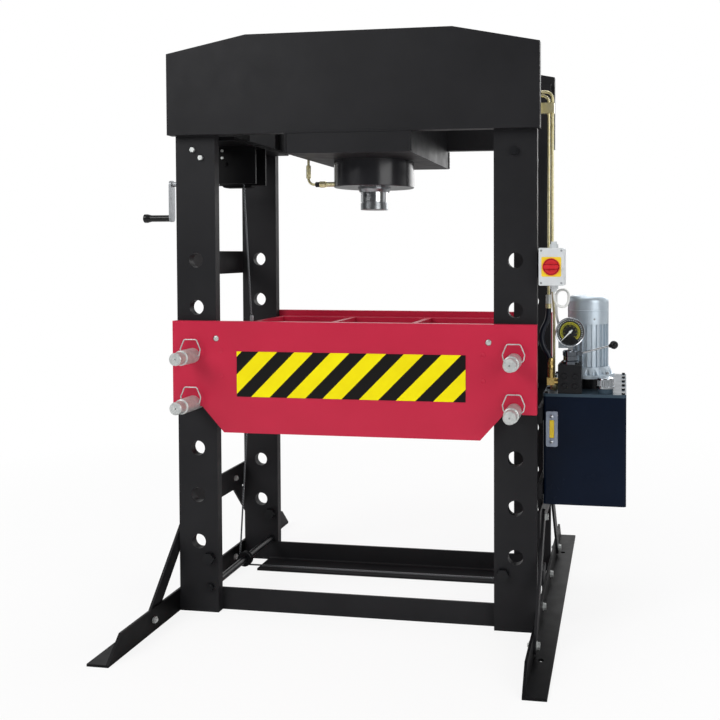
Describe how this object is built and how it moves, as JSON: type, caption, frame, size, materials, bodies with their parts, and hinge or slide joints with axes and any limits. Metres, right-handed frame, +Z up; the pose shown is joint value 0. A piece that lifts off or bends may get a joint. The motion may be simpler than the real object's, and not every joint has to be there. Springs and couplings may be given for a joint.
{
  "type": "hydraulic workshop press",
  "caption": "Floor-standing electro-hydraulic workshop press with a pinned, winch-lifted bolster, fixed cylinder and a side-mounted power pack.",
  "frame": {"origin": "on the floor under the ram's axis, in the middle of the four anchor holes", "axes": "X across the press to its right side, where the power pack is; Y to the rear; Z up along the ram's axis"},
  "size_m": [1.8156, 1.35, 1.945],
  "materials": {
    "frame_paint": "satin charcoal paint",
    "bolster_paint": "gloss crimson paint",
    "hazard_paint": "yellow sheet with black diagonal bars",
    "cylinder_paint": "gloss dark grey paint",
    "ground_steel": "ground steel",
    "hard_chrome": "polished hard chrome",
    "galvanised": "dull galvanised steel",
    "zinc_yellow": "yellow zinc plating",
    "wire_rope": "bare steel wire",
    "tank_paint": "gloss blue-black paint",
    "motor_paint": "satin light grey paint",
    "black_iron": "black painted casting",
    "grey_plastic": "pale grey plastic",
    "red_plastic": "red plastic",
    "black_plastic": "black plastic",
    "white_plastic": "white cable sheath",
    "hose_rubber": "black rubber",
    "clear_glass": "clear glass",
    "needle_paint": "white paint"
  },
  "bodies": {
    "press": {"bolster_plate_front": "bolster_paint", "bolster_plate_rear": "bolster_paint", "bolster_spacers": "bolster_paint", "cable_glands": "grey_plastic", "cross_rods": "galvanised", "crossbars": "frame_paint", "cylinder_barrel": "cylinder_paint", "cylinder_housing": "frame_paint", "fan_cover": "motor_paint", "feet": "frame_paint", "foot_braces": "frame_paint", "frame_bolts": "galvanised", "gauge_case": "hard_chrome", "gauge_glass": "clear_glass", "hazard_panel": "hazard_paint", "head_plate_front": "frame_paint", "head_plate_rear": "frame_paint", "hose": "hose_rubber", "hose_elbow": "zinc_yellow", "hydraulic_tubes": "zinc_yellow", "lid_bolts": "black_iron", "motor": "motor_paint", "motor_cable": "white_plastic", "pulley_fork": "frame_paint", "pump_bell": "black_iron", "rod_gland": "ground_steel", "rope_levelling": "wire_rope", "rope_lifting": "wire_rope", "side_ties": "frame_paint", "sight_glass": "grey_plastic", "switch_box": "grey_plastic", "tank": "tank_paint", "tank_lid": "tank_paint", "tube_fittings": "zinc_yellow", "upright_front_left": "frame_paint", "upright_front_right": "frame_paint", "upright_rear_left": "frame_paint", "upright_rear_right": "frame_paint", "valve_block": "black_iron", "valve_body": "hard_chrome", "winch_frame": "frame_paint", "winch_gearcase": "frame_paint"},
    "ram": {"ram": "hard_chrome", "ram_nose": "ground_steel"},
    "upper_left_pin": {"pin_upper_left": "galvanised"},
    "upper_right_pin": {"pin_upper_right": "galvanised"},
    "lower_left_pin": {"pin_lower_left": "galvanised"},
    "lower_right_pin": {"pin_lower_right": "galvanised"},
    "crank": {"winch_crank": "galvanised"},
    "crank_handle": {"crank_grip": "black_plastic"},
    "drum": {"winch_drum": "galvanised", "drum_wraps": "wire_rope"},
    "low_left_pulley": {"pulley_low_left": "galvanised"},
    "low_right_pulley": {"pulley_low_right": "galvanised"},
    "top_right_pulley": {"pulley_top_right": "galvanised"},
    "lever": {"valve_lever": "hard_chrome"},
    "knob": {"switch_knob": "red_plastic"},
    "needle": {"gauge_needle": "needle_paint"},
    "cap": {"filler_cap": "black_plastic"},
    "fan": {"motor_fan": "black_plastic"}
  },
  "joints": [
    {"name": "ram_stroke", "type": "slide", "parent": "press", "child": "ram", "axis": [0, 0, -1], "range_m": [0, 0.3]},
    {"name": "upper_left_pin_pull", "type": "slide", "parent": "press", "child": "upper_left_pin", "axis": [0, -1, 0], "range_m": [0, 0.62]},
    {"name": "upper_right_pin_pull", "type": "slide", "parent": "press", "child": "upper_right_pin", "axis": [0, -1, 0], "range_m": [0, 0.62]},
    {"name": "lower_left_pin_pull", "type": "slide", "parent": "press", "child": "lower_left_pin", "axis": [0, -1, 0], "range_m": [0, 0.62]},
    {"name": "lower_right_pin_pull", "type": "slide", "parent": "press", "child": "lower_right_pin", "axis": [0, -1, 0], "range_m": [0, 0.62]},
    {"name": "crank_spin", "type": "hinge", "parent": "press", "child": "crank", "pos_m": [-0.8, 0.042, 1.485], "axis": [1, 0, 0], "continuous": true},
    {"name": "handle_spin", "type": "hinge", "parent": "crank", "child": "crank_handle", "pos_m": [-0.86, 0.042, 1.357], "axis": [1, 0, 0], "continuous": true},
    {"name": "drum_spin", "type": "hinge", "parent": "press", "child": "drum", "pos_m": [-0.535, 0, 1.547], "axis": [0, 1, 0], "continuous": true},
    {"name": "low_left_pulley_spin", "type": "hinge", "parent": "press", "child": "low_left_pulley", "pos_m": [-0.503, 0, 0.088], "axis": [0, 1, 0], "continuous": true},
    {"name": "low_right_pulley_spin", "type": "hinge", "parent": "press", "child": "low_right_pulley", "pos_m": [0.561, 0, 0.088], "axis": [0, 1, 0], "continuous": true},
    {"name": "top_right_pulley_spin", "type": "hinge", "parent": "press", "child": "top_right_pulley", "pos_m": [0.543, 0, 1.551], "axis": [0, 1, 0], "continuous": true},
    {"name": "valve_lever_tilt", "type": "hinge", "parent": "press", "child": "lever", "pos_m": [0.749, -0.17, 0.8964], "axis": [0, 1, 0], "range_deg": [-15, 15]},
    {"name": "switch_turn", "type": "hinge", "parent": "press", "child": "knob", "pos_m": [0.663, -0.3, 1.182], "axis": [0, 1, 0], "range_deg": [0, 90]},
    {"name": "gauge_needle_turn", "type": "hinge", "parent": "press", "child": "needle", "pos_m": [0.715, -0.179, 0.966], "axis": [0, 1, 0], "range_deg": [0, 270], "stiffness_Nm_per_rad": 0.0005},
    {"name": "filler_cap_twist", "type": "hinge", "parent": "press", "child": "cap", "pos_m": [0.83, -0.175, 0.785], "axis": [0, 0, 1], "range_deg": [0, 90]},
    {"name": "fan_spin", "type": "hinge", "parent": "press", "child": "fan", "pos_m": [0.768, -0.04, 1.027], "axis": [0, 0, 1], "continuous": true}
  ],
  "couplings": [
    {"joint": "drum_spin", "follows": "crank_spin", "ratio": -0.033333},
    {"joint": "low_left_pulley_spin", "follows": "crank_spin", "ratio": 0.055556},
    {"joint": "low_right_pulley_spin", "follows": "crank_spin", "ratio": 0.055556},
    {"joint": "top_right_pulley_spin", "follows": "crank_spin", "ratio": 0.027778}
  ]
}
